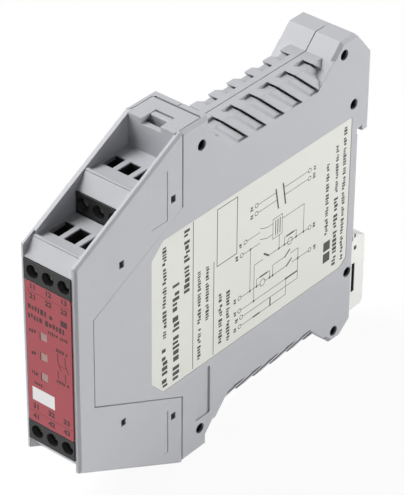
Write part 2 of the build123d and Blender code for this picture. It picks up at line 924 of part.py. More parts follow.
with BuildPart() as light_guide:
    guide_half = indicator_width / 2 - seat_gap
    bridge_front = plate_seat + back_wall + seat_gap
    for row in (-1, 0, 1):
        block(
            (indicator_side - guide_half, indicator_side + guide_half),
            (seat_gap - plate_proud, board_front - 0.4),
            indicator_span(row, seat_gap),
        )
    block(
        (indicator_side - guide_half, indicator_side + guide_half + 0.8),
        (bridge_front, bridge_front + 1.2),
        (indicator_span(-1, -0.6)[0], indicator_span(1, -0.6)[1]),
    )
light_guide.part.label = "light_guide"
export_step(light_guide.part, "parts/light_guide.step")

with BuildPart() as side_label:
    extrude(label_outline(0), amount=label_thickness)
side_label.part.label = "side_label"
export_step(side_label.part, "parts/side_label.step")

# Rail latch and its spring
lip_rear = (latch_reach - 1.3) * 0.5
with BuildPart() as rail_latch:
    slab(
        [
            (depth + latch_gap, -latch_bottom),
            (depth + latch_reach - 1, -latch_bottom),
            (depth + latch_reach, -latch_bottom + 1),
            (depth + latch_reach, -latch_top + latch_lip - lip_rear),
            (depth + rail_flange + latch_gap, -latch_top + latch_lip),
            (depth + rail_flange + latch_gap, -latch_top),
            (depth + latch_gap, -latch_top),
        ],
        (-latch_width / 2, latch_width / 2),
    )
    block(
        (-2.0, 2.0),
        (depth + 2.4, depth + 3.8),
        (-latch_bottom - 1, -latch_bottom + 4),
        mode=Mode.SUBTRACT,
    )
    block(
        (-latch_neck / 2, latch_neck / 2),
        (latch_head_rear - wall / 2, depth + 1),
        (-latch_neck_drop - latch_neck_height / 2, -latch_neck_drop + latch_neck_height / 2),
    )
    block(
        (-latch_head_width / 2, latch_head_width / 2),
        (latch_head_rear - latch_head_thickness, latch_head_rear),
        (-latch_neck_drop - latch_head / 2, -latch_neck_drop + latch_head / 2),
    )
    with Locations((0, spring_depth - depth, spring_top)):
        Cylinder(peg_radius, 2 * head_peg)
    for side in (-1, 1):
        block(
            (side * (latch_width / 2 - 1.5), side * (latch_width / 2 + 1)),
            (depth + 1.2, depth + 2.2),
            (-35.0, -26.0),
            mode=Mode.SUBTRACT,
        )
rail_latch.part.label = "rail_latch"
export_step(rail_latch.part, "parts/rail_latch.step")

coil_height = spring_length - spring_wire
with BuildPart() as latch_spring:
    with BuildLine() as coil:
        Helix(
            pitch=coil_height / spring_turns,
            height=coil_height,
            radius=spring_radius,
            center=(0, spring_depth - depth, spring_floor + spring_wire / 2),
        )
    with BuildSketch(Plane(origin=coil.line @ 0, z_dir=coil.line % 0)):
        Circle(spring_wire / 2)
    sweep(path=coil.line, is_frenet=True)
latch_spring.part.label = "latch_spring"
export_step(latch_spring.part, "parts/latch_spring.step")

# Board and the pieces on it
board_back = board_face - board_thickness
through = (board_back - 1, board_face + 1)
with BuildPart() as main_board:
    edge = [
        (board_front, board_front_half),
        (board_front + 10.9, board_front_half),
        (board_front + 10.9 + 9.8, board_block_half),
        (board_mid_start, board_block_half),
        (board_mid_start + 1.2, board_mid_half),
        (board_mid_end, board_mid_half),
        (board_mid_end + 1, board_tower_half),
        (board_end, board_tower_half),
    ]
    slab(edge + flipped(edge)[::-1], (board_back, board_face))
    for d, z in board_post_places:
        for side in (1, -1):
            cross_pin(board_pin + board_pin_fit, through, d, side * z, mode=Mode.SUBTRACT)
    for relay in (1, -1):
        for d in (relay_depth + 3, relay_depth + relay_length - 3):
            for z in (relay * relay_spacing / 2 - 11, relay * relay_spacing / 2 + 11):
                cross_pin(pin_radius + 0.05, through, d, z, mode=Mode.SUBTRACT)
    for d in (capacitor_depth - 2, capacitor_depth + 2):
        lead = capacitor_length / 2 + 1.5
        cross_pin(lead_radius + 0.05, through, d, lead, mode=Mode.SUBTRACT)
main_board.part.label = "main_board"
export_step(main_board.part, "parts/main_board.step")

for relay_name, relay in (("top", 1), ("bottom", -1)):
    middle = relay * relay_spacing / 2
    low = middle - relay_height / 2
    high = middle + relay_height / 2
    with BuildPart() as relay_foot:
        foot = (board_face + 0.1, board_face + 0.1 + relay_base)
        block(foot, (relay_depth, relay_depth + relay_length), (low, high))
        for d in (relay_depth + 3, relay_depth + relay_length - 3):
            for z in (middle - 11, middle + 11):
                cross_pin(pin_radius, (board_face - pin_reach, board_face + 1), d, z)
    relay_foot.part.label = f"relay_base_{relay_name}"
    export_step(relay_foot.part, f"parts/relay_base_{relay_name}.step")
    with BuildPart() as relay_case:
        case_foot = board_face + 0.1 + relay_base
        block((case_foot, relay_top), (relay_depth, relay_depth + relay_length), (low, high))
        fillet(relay_case.faces().sort_by(Axis.X)[-1].edges(), radius=0.5)
        block(
            (case_foot - 1, relay_top - relay_case_wall),
            (relay_depth + relay_case_wall, relay_depth + relay_length - relay_case_wall),
            (low + relay_case_wall, high - relay_case_wall),
            mode=Mode.SUBTRACT,
        )
    relay_case.part.label = f"relay_case_{relay_name}"
    export_step(relay_case.part, f"parts/relay_case_{relay_name}.step")

cap_axis = board_face + capacitor_radius + 0.1
with BuildPart() as supply_capacitor:
    with Locations((cap_axis, capacitor_depth - depth, 0)):
        Cylinder(capacitor_radius, capacitor_length)
    fillet(supply_capacitor.edges().filter_by(GeomType.CIRCLE), radius=0.6)
    for d in (capacitor_depth - 2, capacitor_depth + 2):
        with Locations((cap_axis, d - depth, capacitor_length / 2 + 0.7)):
            Cylinder(lead_radius, 2.2)
        cross_pin(lead_radius, (board_back - 0.6, cap_axis + lead_radius), d, capacitor_length / 2 + 1.5)
supply_capacitor.part.label = "supply_capacitor"
export_step(supply_capacitor.part, "parts/supply_capacitor.step")

with BuildPart() as bridge_rectifier:
    block((board_face + 0.1, board_face + 2.7), (91.5, 98.5), (13.0, 21.5))
    chamfer(bridge_rectifier.faces().sort_by(Axis.X)[-1].edges(), length=0.4)
bridge_rectifier.part.label = "bridge_rectifier"
export_step(bridge_rectifier.part, "parts/bridge_rectifier.step")

with BuildPart() as control_chip:
    block((board_face + 0.15, board_face + 1.75), (38.0, 48.0), (-5.0, 5.0))
    chamfer(control_chip.faces().sort_by(Axis.X)[-1].edges(), length=0.3)
    for number in range(7):
        for side in (-1, 1):
            block(
                (board_face + 0.05, board_face + 0.5),
                (39.3 + number * 1.2, 39.8 + number * 1.2),
                (side * 4.5, side * 6.0),
            )
control_chip.part.label = "control_chip"
export_step(control_chip.part, "parts/control_chip.step")

for number, row in ((1, 1), (2, 0), (3, -1)):
    with BuildPart() as indicator_led:
        block(
            (board_face + 0.05, indicator_side + 0.9),
            (board_front, board_front + 2),
            indicator_span(row, seat_gap),
        )
    indicator_led.part.label = f"indicator_led_{number}"
    export_step(indicator_led.part, f"parts/indicator_led_{number}.step")
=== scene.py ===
"""A slim safety relay unit for a 35 mm rail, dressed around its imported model, in metres."""

import bpy
import numpy as np
from mathutils import Matrix, Vector


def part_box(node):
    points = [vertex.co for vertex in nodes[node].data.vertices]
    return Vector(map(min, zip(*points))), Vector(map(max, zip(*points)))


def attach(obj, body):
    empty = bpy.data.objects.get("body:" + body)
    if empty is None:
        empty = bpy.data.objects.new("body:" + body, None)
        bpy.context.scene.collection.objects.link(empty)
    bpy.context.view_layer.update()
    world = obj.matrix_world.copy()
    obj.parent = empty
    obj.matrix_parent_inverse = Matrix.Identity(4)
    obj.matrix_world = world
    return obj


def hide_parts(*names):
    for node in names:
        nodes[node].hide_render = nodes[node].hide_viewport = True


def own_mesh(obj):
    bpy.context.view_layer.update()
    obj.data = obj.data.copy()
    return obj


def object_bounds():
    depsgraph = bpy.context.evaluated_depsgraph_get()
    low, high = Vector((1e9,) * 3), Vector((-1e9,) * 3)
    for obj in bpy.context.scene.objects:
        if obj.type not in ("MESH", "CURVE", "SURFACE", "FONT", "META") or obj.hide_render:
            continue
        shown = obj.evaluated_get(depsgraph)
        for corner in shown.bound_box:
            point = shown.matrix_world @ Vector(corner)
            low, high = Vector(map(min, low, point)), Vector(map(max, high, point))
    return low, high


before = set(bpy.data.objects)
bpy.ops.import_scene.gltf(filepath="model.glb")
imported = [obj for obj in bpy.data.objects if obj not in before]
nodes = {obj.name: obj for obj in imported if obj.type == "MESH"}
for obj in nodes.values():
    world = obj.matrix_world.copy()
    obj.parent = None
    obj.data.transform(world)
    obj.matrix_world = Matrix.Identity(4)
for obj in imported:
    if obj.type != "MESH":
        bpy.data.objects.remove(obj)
cad_low, cad_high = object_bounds()


# Camera: it stands in front of the unit, above it and on the labelled side, with a long lens.
# Its turn, rise, roll and lens were solved from the outline in the photograph.
camera_turn = np.radians(39.9309)
camera_rise = np.radians(34.6053)
camera_roll = np.radians(0.4419)
focal_px = 2808.887
frame_wide_px = 404
frame_high_px = 495
principal_px = (202.615, 248.191)
sensor_mm = 36.0
unit_depth_mm = 108.0
camera_shift_mm = np.array([-36.3574, -27.0623, -673.3097])

back = np.array(
    [
        np.sin(camera_turn) * np.cos(camera_rise),
        -np.cos(camera_turn) * np.cos(camera_rise),
        np.sin(camera_rise),
    ]
)
right = np.array([np.cos(camera_turn), np.sin(camera_turn), 0.0])
up = np.cross(back, right)
roll = np.array(
    [
        [np.cos(camera_roll), np.sin(camera_roll), 0.0],
        [-np.sin(camera_roll), np.cos(camera_roll), 0.0],
        [0.0, 0.0, 1.0],
    ]
)
camera_rows = roll @ np.vstack([right, up, back])
camera_place = (-camera_rows.T @ camera_shift_mm - np.array([0.0, unit_depth_mm, 0.0])) / 1000
camera_data = bpy.data.cameras.new("camera")
camera_data.sensor_fit = "HORIZONTAL"
camera_data.sensor_width = sensor_mm
camera_data.lens = sensor_mm * focal_px / frame_wide_px
camera_data.shift_x = (frame_wide_px / 2 - principal_px[0]) / frame_wide_px
camera_data.shift_y = (principal_px[1] - frame_high_px / 2) / frame_wide_px
camera_data.clip_start = 0.05
camera = bpy.data.objects.new("camera", camera_data)
pose = Matrix.Identity(4)
for column in range(3):
    for row in range(3):
        pose[row][column] = camera_rows[column][row]
    pose[column][3] = camera_place[column]
camera.matrix_world = pose
bpy.context.scene.collection.objects.link(camera)
bpy.context.scene.camera = camera
bpy.context.scene.view_settings.view_transform = "Standard"


# Studio: a pale floor and room, with soft square lamps to the left, above left and to the right
# rear, and a weak one behind. Faces turned straight at the camera stay darker than the front.
def plain_sight(tree):
    """A socket that is 1 for rays that show the backdrop: seen, mirrored or through glass."""
    ray = tree.nodes.new("ShaderNodeLightPath")
    seen = ray.outputs["Is Camera Ray"]
    for kind in ("Is Transmission Ray", "Is Glossy Ray"):
        either = tree.nodes.new("ShaderNodeMath")
        either.operation = "MAXIMUM"
        tree.links.new(seen, either.inputs[0])
        tree.links.new(ray.outputs[kind], either.inputs[1])
        seen = either.outputs[0]
    return seen


world = bpy.data.worlds.new("room")
bpy.context.scene.world = world
world.use_nodes = True
room = world.node_tree
room.nodes.clear()
room_out = room.nodes.new("ShaderNodeOutputWorld")
room_light = room.nodes.new("ShaderNodeBackground")
room_light.inputs["Color"].default_value = (0.98, 0.99, 1.0, 1.0)
room_light.inputs["Strength"].default_value = 0.06
room_seen = room.nodes.new("ShaderNodeBackground")
room_seen.inputs["Color"].default_value = (1.0, 1.0, 1.0, 1.0)
room_seen.inputs["Strength"].default_value = 1.0
room_mix = room.nodes.new("ShaderNodeMixShader")
room.links.new(plain_sight(room), room_mix.inputs[0])
room.links.new(room_light.outputs[0], room_mix.inputs[1])
room.links.new(room_seen.outputs[0], room_mix.inputs[2])
room.links.new(room_mix.outputs[0], room_out.inputs["Surface"])


unit_middle = Vector((0.0, -0.054, 0.0))
lamp_side = 0.5


def soft_lamp(name, turn, rise, watts):
    """A square area lamp 1 m from the unit and aimed at it, at a turn from its front and a rise."""
    data = bpy.data.lights.new(name, "AREA")
    data.size = lamp_side
    data.energy = watts
    lamp = bpy.data.objects.new(name, data)
    turn, rise = np.radians(turn), np.radians(rise)
    toward = Vector((np.sin(turn) * np.cos(rise), -np.cos(turn) * np.cos(rise), np.sin(rise)))
    lamp.location = unit_middle + toward
    lamp.rotation_euler = (-toward).to_track_quat("-Z", "Y").to_euler()
    bpy.context.scene.collection.objects.link(lamp)


soft_lamp("lamp_left", -50.0, 8.0, 3.2)
soft_lamp("lamp_above", -63.0, 54.0, 10.0)
soft_lamp("lamp_right", 128.0, 12.0, 7.1)
soft_lamp("lamp_rear", 175.0, 25.0, 0.5)

floor_gap = 0.0001
floor_half = 2.0
floor_z = cad_low[2] - floor_gap
floor_corners = [(-1, -1), (1, -1), (1, 1), (-1, 1)]
floor_points = [(floor_half * x, floor_half * y, floor_z) for x, y in floor_corners]
floor_mesh = bpy.data.meshes.new("floor")
floor_mesh.from_pydata(floor_points, [], [(0, 1, 2, 3)])
floor = bpy.data.objects.new("floor", floor_mesh)
bpy.context.scene.collection.objects.link(floor)


# Housing: two half shells with louvred shoulders and a terminal housing clipped over their
# front. All are injection moulded in light grey polyamide with a fine matt grain.
class Wire:
    """One output socket of a material, on which arithmetic adds Math nodes."""

    def __init__(self, finish, socket):
        self.finish = finish
        self.socket = socket

    def math(self, operation, first, second):
        """A Math node on two wires or numbers."""
        return self.finish.node("ShaderNodeMath", {"operation": operation}, {0: first, 1: second})

    def least(self, other):
        """The smaller of this and another wire."""
        return self.math("MINIMUM", self, other)

    def __add__(self, other):
        return self.math("ADD", self, other)

    __radd__ = __add__

    def __sub__(self, other):
        return self.math("SUBTRACT", self, other)

    def __rsub__(self, other):
        return self.math("SUBTRACT", other, self)

    def __mul__(self, other):
        return self.math("MULTIPLY", self, other)

    __rmul__ = __mul__


class Finish:
    """A material under construction: node() adds one node and surface() closes the tree."""

    def __init__(self, name):
        self.material = bpy.data.materials.new(name)
        self.material.use_nodes = True
        self.tree = self.material.node_tree
        self.tree.nodes.clear()
        self.place = self.node("ShaderNodeTexCoord", {}, {}, "Object")

    def node(self, kind, settings, inputs, output=0):
        """Adds a node: its settings first, then the values or wires of its sockets."""
        made = self.tree.nodes.new(kind)
        for name, value in settings.items():
            setattr(made, name, value)
        for name, value in inputs.items():
            if isinstance(value, Wire):
                self.tree.links.new(value.socket, made.inputs[name])
            else:
                made.inputs[name].default_value = value
        return Wire(self, made.outputs[output])

    def noise(self, scale, detail):
        """Noise of a scale in cells a metre, from 0 to 1."""
        sockets = {"Vector": self.place, "Scale": scale, "Detail": detail, "Roughness": 0.5}
        return self.node("ShaderNodeTexNoise", {"normalize": True}, sockets)

    def vector(self, operation, first, second, output=0):
        """A Vector Math node on two wires or vectors."""
        sockets = {0: first, 1: second}
        return self.node("ShaderNodeVectorMath", {"operation": operation}, sockets, output)

    def folded(self, place):
        """A place with its signs dropped, so that mirror images fall together."""
        return self.node("ShaderNodeVectorMath", {"operation": "ABSOLUTE"}, {0: place})

    def bump(self, strength, distance, height):
        """A normal with the relief of a height wire pressed into it."""
        sockets = {"Strength": strength, "Distance": distance, "Height": height}
        return self.node("ShaderNodeBump", {}, sockets)

    def blend(self, factor, first, second):
        """A colour between two colours or wires."""
        sockets = {0: factor, 6: first, 7: second}
        return self.node("ShaderNodeMix", {"data_type": "RGBA"}, sockets, 2)

    def ramp(self, value, low, high):
        """A wire mapped from low to high onto 0 to 1, clamped, with soft ends."""
        sockets = {"Value": value, "From Min": low, "From Max": high}
        return self.node("ShaderNodeMapRange", {"interpolation_type": "SMOOTHSTEP"}, sockets)

    def surface(self, sockets):
        """Closes the tree with a Principled shader."""
        shader = self.node("ShaderNodeBsdfPrincipled", {}, sockets)
        out = self.tree.nodes.new("ShaderNodeOutputMaterial")
        self.tree.links.new(shader.socket, out.inputs["Surface"])
        return self.material


def rgba(red, green, blue):
    """An opaque colour."""
    return (red, green, blue, 1.0)


def tinted(colour, factor):
    """A colour made lighter or darker by a factor."""
    return rgba(colour[0] * factor, colour[1] * factor, colour[2] * factor)


# the near black of painted shade in deep holes
deep_shade = rgba(0.012, 0.012, 0.013)


def moulded(name, colour, edge_radius, grain, gloss, mottle=0.03, shade=None):
    """Moulded plastic: a grain of two scales in the normal, a faint mottle and a painted highlight on
    its edges.

    An edge is where the normal, rounded over edge_radius, turns away from the true one. shade,
    if given, makes the wire that says where the plastic lies in the dark of a deep hole; there
    the colour is painted near black as painted shade.
    """
    finish = Finish(name)
    cloud = finish.noise(90.0, 3.0)
    speck = finish.noise(2600.0, 2.0)
    fine = finish.noise(6500.0, 1.0)
    soft_edge = finish.node("ShaderNodeBevel", {"samples": 6}, {"Radius": edge_radius})
    face = finish.node("ShaderNodeNewGeometry", {}, {}, "True Normal")
    facing = finish.vector("DOT_PRODUCT", soft_edge, face, "Value")
    sockets = {"Value": facing, "From Min": 0.995, "From Max": 0.80}
    edge = finish.node("ShaderNodeMapRange", {}, sockets)
    body = finish.blend(cloud, tinted(colour, 1.0 - mottle), tinted(colour, 1.0 + mottle))
    body = finish.blend(speck * 0.22, body, tinted(colour, 0.86))
    # painted highlight: edges are coloured lighter where light would catch their rounding
    body = finish.blend(edge * 0.35, body, tinted(colour, 1.28))
    # painted shade: near black wherever the shade wire marks the dark of a deep hole
    if shade:
        body = finish.blend(shade(finish), body, deep_shade)
    height = speck * 0.7 + fine * 0.3
    sockets = {"Strength": grain, "Distance": 0.00006, "Height": height, "Normal": soft_edge}
    normal = finish.node("ShaderNodeBump", {}, sockets)
    rough = gloss + speck * 0.12 - edge * 0.06
    return finish.surface({"Base Color": body, "Roughness": rough, "Normal": normal, "IOR": 1.5})


def dress(names, material):
    """Gives CAD nodes a material."""
    for name in names:
        for slot in nodes[name].material_slots:
            slot.material = material


def housing_plastic(name, shade=None):
    """The housing's light grey polyamide, with painted shade where a shade wire is given."""
    return moulded(name, rgba(0.500, 0.505, 0.530), 0.00022, 0.30, 0.46, shade=shade)


dress(["left_shell"], housing_plastic("housing_plastic"))
shade_blur = 0.0002
# x, y and z ranges, signs dropped, of the painted shade inside two rows of wire entries under their
# rims and two snap windows
front_shade_boxes = [
    ((0.0, 0.0068), (0.0944, 0.1008), (0.0250, 0.0306)),
    ((0.0, 0.0068), (0.0763, 0.0817), (0.0340, 0.0404)),
    ((0.0060, 0.0089), (0.0911, 0.0929), (0.0226, 0.0248)),
    ((0.0060, 0.0089), (0.0723, 0.0741), (0.0318, 0.0340)),
]


def in_shade_boxes(finish, shade_boxes):
    """1 on surfaces inside any of some boxes, 0 elsewhere.

    The signs of the place are dropped, so each box stands for its mirror images too. A box is
    the product of one ramp up and one ramp down for each of its three ranges.
    """
    folded = finish.folded(finish.place)
    places = [finish.node("ShaderNodeSeparateXYZ", {}, {0: folded}, axis) for axis in "XYZ"]
    inside = 0.0
    for shade_box in shade_boxes:
        share = 1.0
        for place, (low, high) in zip(places, shade_box):
            share = finish.ramp(place, high, high - shade_blur) * share
            if low > 0:
                share = finish.ramp(place, low, low + shade_blur) * share
        inside = share + inside
    return inside


def front_hole_shade(finish):
    """1 inside the terminal housing's wire entries and snap windows, where painted shade goes, 0
    elsewhere.
    """
    return in_shade_boxes(finish, front_shade_boxes)


dress(["terminal_housing"], housing_plastic("front_plastic", front_hole_shade))
post_places = [(0.0627, 0.0431), (0.0070, 0.0431), (0.0021, 0.0263)]
post_radius = 0.0015
side_face = 0.00875
shade_start = 0.0002
shade_full = 0.0009


def post_hole_shade(finish):
    """1 inside the six blind screw-post holes of the right shell, where painted shade goes, 0
    elsewhere.

    The holes run along X, so each is where the distance from its axis, taken without X and with
    the signs dropped, is under its radius and X lies below the side face.
    """
    flat = finish.folded(finish.vector("MULTIPLY", finish.place, (0, 1, 1)))
    gaps = [finish.vector("DISTANCE", flat, (0, *place), "Value") for place in post_places]
    nearest = gaps[0].least(gaps[1]).least(gaps[2])
    x = finish.node("ShaderNodeSeparateXYZ", {}, {0: finish.place}, "X")
    inside = finish.ramp(nearest, post_radius * 1.04, post_radius * 1.01)
    return inside * finish.ramp(x, side_face - shade_start, side_face - shade_full)


dress(["right_shell"], housing_plastic("shell_plastic", post_hole_shade))


# Terminal blocks: one insulating block for each row of three terminals, moulded in black
# polyamide and snapped into the housing's square side windows.
block_plastic = moulded("block_plastic", rgba(0.009, 0.010, 0.010), 0.00012, 0.22, 0.45)
rows = ["top_front", "top_rear", "bottom_front", "bottom_rear"]
dress([f"terminal_block_{row}" for row in rows], block_plastic)


# Terminal screws: M2.5 steel screws with a slotted head, zinc plated, held captive between
# the block's bore and its web. Each is a thread ridge run round a core under a turned head.
def plated_metal(name, colour, roughness):
    """Plated steel: a cloudy tint, a fine grain in the roughness and a soft normal."""
    finish = Finish(name)
    cloud = finish.noise(420.0, 3.0)
    fine = finish.noise(4200.0, 2.0)
    tone = finish.blend(cloud, tinted(colour, 0.86), tinted(colour, 1.08))
    normal = finish.bump(0.15, 0.00002, fine)
    rough = roughness + cloud * 0.12 + fine * 0.06
    return finish.surface({"Base Color": tone, "Metallic": 1.0, "Roughness": rough, "Normal": normal})


def grid_faces(rows_count, columns_count):
    """Quads of a tube's grid of points, row by row, with the last column joined to the first."""
    row = np.arange(rows_count - 1)[:, None]
    column = np.arange(columns_count)[None, :]
    after = (column + 1) % columns_count
    first = row * columns_count + column
    second = row * columns_count + after
    third = (row + 1) * columns_count + after
    fourth = (row + 1) * columns_count + column
    return np.stack([first, second, third, fourth], -1).reshape(-1, 4)


def new_piece(name, points, faces, material, body, smooth=True):
    """A mesh object from arrays of points and of quads or triangles, riding on a body."""
    mesh = bpy.data.meshes.new(name)
    mesh.from_pydata(points.tolist(), [], [list(face) for face in faces])
    mesh.update()
    mesh.polygons.foreach_set("use_smooth", [smooth] * len(mesh.polygons))
    mesh.materials.append(material)
    piece = bpy.data.objects.new(name, mesh)
    bpy.context.scene.collection.objects.link(piece)
    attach(piece, body)
    return piece


screw_steel = plated_metal("screw_steel", rgba(0.60, 0.59, 0.56), 0.26)
screw_around = 48
face_rings = 22
shank_rings = 96
shank = 0.00125
thread_pitch = 0.00045
thread_depth = 0.00014
thread_run_in = 0.0004
head_length = 0.0016
head_round = 0.00018
head_dome = 0.0001
slot_half = 0.00026
slot_deep = 0.0007
slot_slope = 0.00006
tip_length = 0.0003
hair = 0.00002
# the head's edge from its face to the shank: how far in from its radius, and how far down
rim_inset = np.array([0.00005, 0.0, 0.0, 0.00006])
rim_down = np.array([head_round, 0.00032, 0.00152, head_length, head_length])


def screw_surface(low, high):
    """A slotted screw filling a box, as rings round its axis from the head's centre to the tip.

    Each ring has a radius and a depth. On the shank the radius swings with the depth less the
    turn, which makes a thread. On the head's face the depth steps in where a point's distance
    from the slot's middle plane is under half its width.
    """
    centre_x = (low[0] + high[0]) / 2
    centre_z = (low[2] + high[2]) / 2
    head = (high[0] - low[0]) / 2
    start = low[1]
    end = high[1]
    angle = np.linspace(0, 2 * np.pi, screw_around, endpoint=False)[None, :]
    face_radius = np.linspace(0.0, 1.0, face_rings)[:, None] * (head - head_round)
    across = np.abs(face_radius * np.cos(angle))
    slot = np.clip((across - slot_half) / slot_slope, 0, 1)
    face_depth = start + hair + slot_deep * (1 - slot) + 0 * angle
    face_depth = face_depth + head_dome * (face_radius / head) ** 2 * slot
    rim_radius = np.append(head - rim_inset, shank)[:, None] + 0 * angle
    rim_slot = np.clip((np.abs(rim_radius * np.cos(angle)) - slot_half) / slot_slope, 0, 1)
    rim_depth = rim_down[:, None] + start
    rim_depth = np.maximum(rim_depth, start + slot_deep * (1 - rim_slot))
    shank_depth = np.linspace(start + head_length, end - tip_length, shank_rings)[:, None] + 0 * angle
    turn = (shank_depth - start) / thread_pitch - angle / (2 * np.pi)
    ridge = 1 - np.abs((turn % 1.0) * 2 - 1)
    fade = np.clip((shank_depth - start - head_length) / thread_run_in, 0, 1)
    shank_radius = shank - thread_depth * (1 - ridge) * fade
    tip_radius = np.array([shank - thread_depth * 1.6, hair])[:, None] + 0 * angle
    tip_depth = np.array([end, end])[:, None] + 0 * angle
    radius = np.vstack([face_radius + 0 * angle, rim_radius, shank_radius, tip_radius])
    depth = np.vstack([face_depth, rim_depth + 0 * angle, shank_depth, tip_depth])
    x = centre_x + radius * np.cos(angle)
    z = centre_z + radius * np.sin(angle)
    points = np.stack([x, depth, z], -1).reshape(-1, 3)
    return points, grid_faces(radius.shape[0], screw_around)


sides = ["left", "mid", "right"]
terminals = [f"{row}_{side}" for row in rows for side in sides]
for terminal in terminals:
    low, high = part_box(f"terminal_screw_{terminal}")
    points, faces = screw_surface(low, high)
    screw = new_piece(f"screw_{terminal}", points, faces, screw_steel, f"screw_{terminal}")
    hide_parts(f"terminal_screw_{terminal}")


# Clamp cages and contact strips: each cage is a bent steel loop with a tapped front wall that
# the screw pulls forward, and each strip is a tinned copper bar that crosses it.
clamp_steel = plated_metal("clamp_steel", rgba(0.55, 0.55, 0.53), 0.34)
strip_tin = plated_metal("strip_tin", rgba(0.66, 0.64, 0.60), 0.30)
dress([f"clamp_cage_{terminal}" for terminal in terminals], clamp_steel)
dress([f"contact_strip_{terminal}" for terminal in terminals], strip_tin)


# Front plate: a thin red polycarbonate plate clipped into the housing's front, with windows for
# the three indicators. Terminal numbers and a contact symbol are printed on it in dark brown.
plate_red = rgba(0.40, 0.055, 0.072)
plate_plastic = moulded("plate_plastic", plate_red, 0.0002, 0.10, 0.36, 0.02)
dress(["front_plate"], plate_plastic)


def ink(name, colour):
    """Printing ink: nearly even, with a faint unevenness in its density."""
    finish = Finish(name)
    density = finish.noise(1800.0, 2.0)
    tone = finish.blend(density * 0.3, colour, tinted(colour, 1.3))
    return finish.surface({"Base Color": tone, "Roughness": 0.5 + density * 0.1})


def strokes(lines, thickness):
    """Quads, in millimetres, of polylines drawn with a pen: each run is a rectangle along it."""
    runs = [(a, b) for line in lines for a, b in zip(line[:-1], line[1:])]
    start = np.array([run[0] for run in runs], float)
    end = np.array([run[1] for run in runs], float)
    along = (end - start) / np.linalg.norm(end - start, axis=1)[:, None]
    aside = np.stack([-along[:, 1], along[:, 0]], -1) * thickness / 2
    reach = along * thickness / 2
    start, end = start - reach, end + reach
    return np.stack([start - aside, end - aside, end + aside, start + aside], 1)


def fields(boxes):
    """Quads of filled rectangles, each given as low u, low v, high u, high v."""
    low_u, low_v, high_u, high_v = np.array(boxes, float).T
    corners = [(low_u, low_v), (high_u, low_v), (high_u, high_v), (low_u, high_v)]
    return np.stack([np.stack(corner, -1) for corner in corners], 1)


def ring(centre, radius, thickness, count=20):
    """Quads of a drawn circle."""
    angle = np.linspace(0, 2 * np.pi, count + 1)
    spoke = np.stack([np.cos(angle), np.sin(angle)], -1)
    inner = np.array(centre) + spoke * (radius - thickness / 2)
    outer = np.array(centre) + spoke * (radius + thickness / 2)
    return np.stack([inner[:-1], outer[:-1], outer[1:], inner[1:]], 1)


def numerals(text, centre, size):
    """Points and faces of plain figures, centred on a point, from the built-in font."""
    curve = bpy.data.curves.new("numerals", "FONT")
    curve.body = text
    curve.size = size
    curve.align_x = "CENTER"
    curve.align_y = "CENTER"
    curve.resolution_u = 3
    curve.offset = 0.045 * size
    holder = bpy.data.objects.new("numerals", curve)
    bpy.context.scene.collection.objects.link(holder)
    bpy.context.view_layer.update()
    mesh = bpy.data.meshes.new_from_object(holder)
    points = np.array([vertex.co[:2] for vertex in mesh.vertices], float)
    faces = [list(polygon.vertices) for polygon in mesh.polygons]
    bpy.data.objects.remove(holder)
    bpy.data.meshes.remove(mesh)
    return points + np.array(centre), faces


ink_lift = 0.00001


def printed(name, quads, figures, origin, along, material):
    """A thin printed layer: shapes in millimetres on an upright plane, lifted off it by the ink."""
    points = [quads.reshape(-1, 2)]
    faces = [list(range(4 * k, 4 * k + 4)) for k in range(len(quads))]
    count = 4 * len(quads)
    for shape, parts in figures:
        points.append(shape)
        faces += [[index + count for index in part] for part in parts]
        count += len(shape)
    flat = np.vstack(points) / 1000
    origin, along, upward = np.array(origin), np.array(along), np.array((0, 0, 1))
    normal = np.cross(along, upward)
    solid = origin + flat[:, :1] * along + flat[:, 1:] * upward + ink_lift * normal
    return new_piece(name, solid, faces, material, "housing", smooth=False)


plate_front = (0.0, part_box("front_plate")[0][1], 0.0)
plate_ink = ink("plate_ink", rgba(0.055, 0.014, 0.014))
dice = np.random.default_rng(5)


def bars(middle, low, high, height, across=False):
    """Boxes of a row of short bars from low to high, in runs parted by wider gaps.

    The row lies at middle, height wide. across turns it, so that it runs along the second axis.
    """
    boxes = []
    at = low
    while at < high - 0.3 * height:
        run_end = min(at + height * dice.uniform(1.6, 4.6), high)
        while at < run_end - 0.25 * height:
            width = height * dice.uniform(0.30, 0.62)
            tall = height * dice.choice([0.5, 0.42, 0.34])
            drop = dice.choice([0.0, 0.5 * height - tall, tall - 0.5 * height])
            end = min(at + width, high)
            boxes.append((at, middle + drop - tall, end, middle + drop + tall))
            at = end + 0.2 * height
        at += 0.45 * height
    if across:
        boxes = [(v0, u0, v1, u1) for u0, v0, u1, v1 in boxes]
    return fields(boxes)


# print in millimetres across and up from the plate's middle
number_size = 2.1
number_rows = [(19.7, "1"), (16.8, "2"), (-16.1, "3"), (-19.2, "4")]
number_columns = [(-5.0, "1"), (0.0, "2"), (5.0, "3")]
plate_numbers = []
for height, first in number_rows:
    for across, second in number_columns:
        plate_numbers.append(numerals(first + second, (across, height), number_size))
contact = [
    [(2.6, 3.6), (2.6, 1.4), (3.6, -0.9)],
    [(2.6, -1.6), (2.6, -3.8)],
    [(5.0, 3.6), (5.0, 1.4), (6.0, -0.9)],
    [(5.0, -1.6), (5.0, -3.8)],
]
contact_link = [[(3.1, 0.3), (5.5, 0.3)]]
number_rules = [[(-6.8, 18.25), (6.9, 18.25)], [(-6.8, -17.7), (6.9, -17.7)]]
plate_shapes = [strokes(contact, 0.26), strokes(contact_link, 0.14), strokes(number_rules, 0.12)]
plate_shapes.append(fields([(3.8, 12.4, 5.9, 14.1)]))
